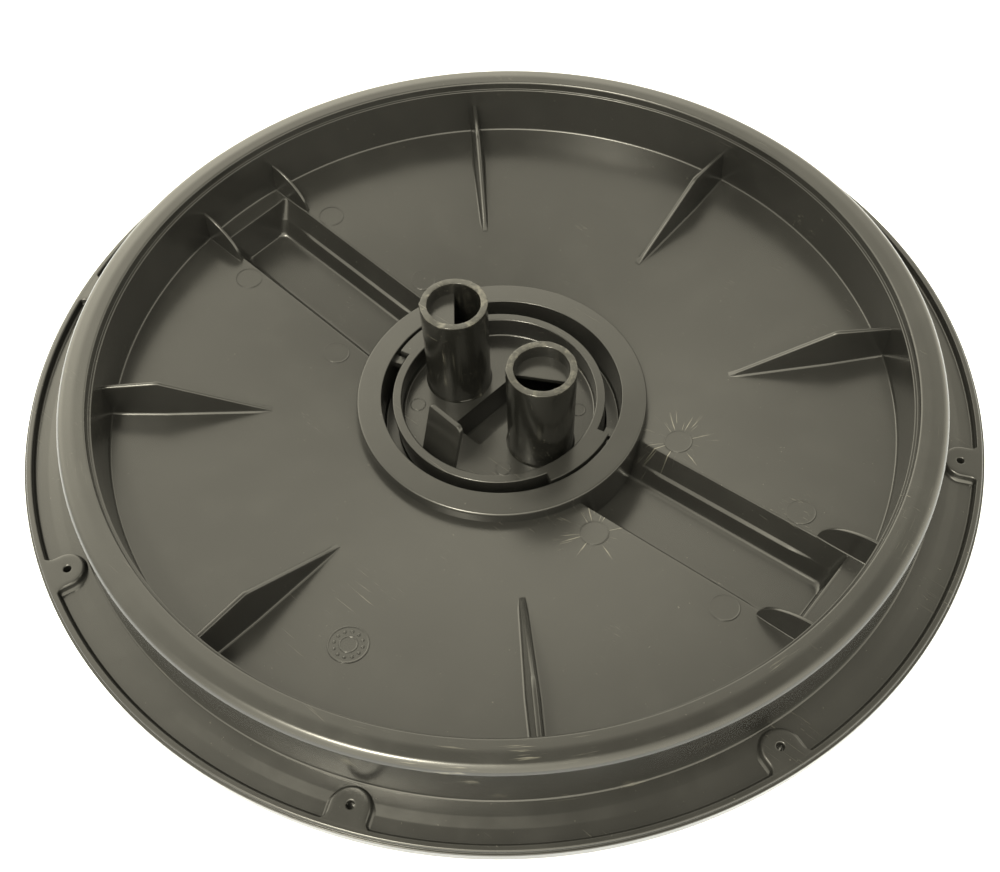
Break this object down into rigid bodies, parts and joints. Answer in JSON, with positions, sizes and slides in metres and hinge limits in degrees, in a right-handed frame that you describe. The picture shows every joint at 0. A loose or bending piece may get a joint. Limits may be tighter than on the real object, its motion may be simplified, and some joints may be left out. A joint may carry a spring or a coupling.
{
  "type": "surface cleaner deck",
  "caption": "Round dished deck of a pressure-washer surface cleaner with ribs, a spray-bar trough, a screw flange and a turn-to-lock hub cap.",
  "frame": {"origin": "on the hub's centre line, at the level of the flat ring that the deck lies on", "axes": "+Z out of the deck's open side, +X along the spray-bar trough; in use the deck is turned over, so -Z is up"},
  "size_m": [0.4, 0.4, 0.0676],
  "materials": {
    "deck_plastic": "black-olive injection-moulded plastic, satin, with scuffs and fine scratches",
    "cap_plastic": "black-olive injection-moulded plastic, satin",
    "tube_plastic": "darker plastic tube, scratched, with a rough cut end"
  },
  "bodies": {
    "deck": {"rim_ring": "deck_plastic", "skirt_flange": "deck_plastic", "screw_lug_1": "deck_plastic", "screw_lug_2": "deck_plastic", "screw_lug_3": "deck_plastic", "screw_lug_4": "deck_plastic", "screw_lug_5": "deck_plastic", "screw_lug_6": "deck_plastic", "screw_lug_7": "deck_plastic", "screw_lug_8": "deck_plastic", "floor_disc": "deck_plastic", "trough_right": "deck_plastic", "trough_left": "deck_plastic", "gusset_1": "deck_plastic", "gusset_2": "deck_plastic", "gusset_3": "deck_plastic", "gusset_4": "deck_plastic", "gusset_5": "deck_plastic", "gusset_6": "deck_plastic", "trough_fin_1": "deck_plastic", "trough_fin_2": "deck_plastic", "trough_fin_3": "deck_plastic", "trough_fin_4": "deck_plastic", "hub_collar": "deck_plastic"},
    "cap": {"lock_cap": "cap_plastic", "grip_bar": "cap_plastic", "stub_tube_left": "tube_plastic", "stub_tube_right": "tube_plastic", "tube_shelf_left": "cap_plastic", "tube_shelf_right": "cap_plastic"},
    "latch": {"latch_tongue": "cap_plastic"}
  },
  "joints": [
    {"name": "cap_turn", "type": "hinge", "parent": "deck", "child": "cap", "pos_m": [0, 0, 0.0178], "axis": [0, 0, -1], "range_deg": [0, 40]},
    {"name": "latch_flex", "type": "hinge", "parent": "cap", "child": "latch", "pos_m": [-0.00197, -0.03966, 0.0181], "axis": [-0.9976, 0.0698, 0], "range_deg": [-4, 10], "stiffness_Nm_per_rad": 0.05}
  ]
}
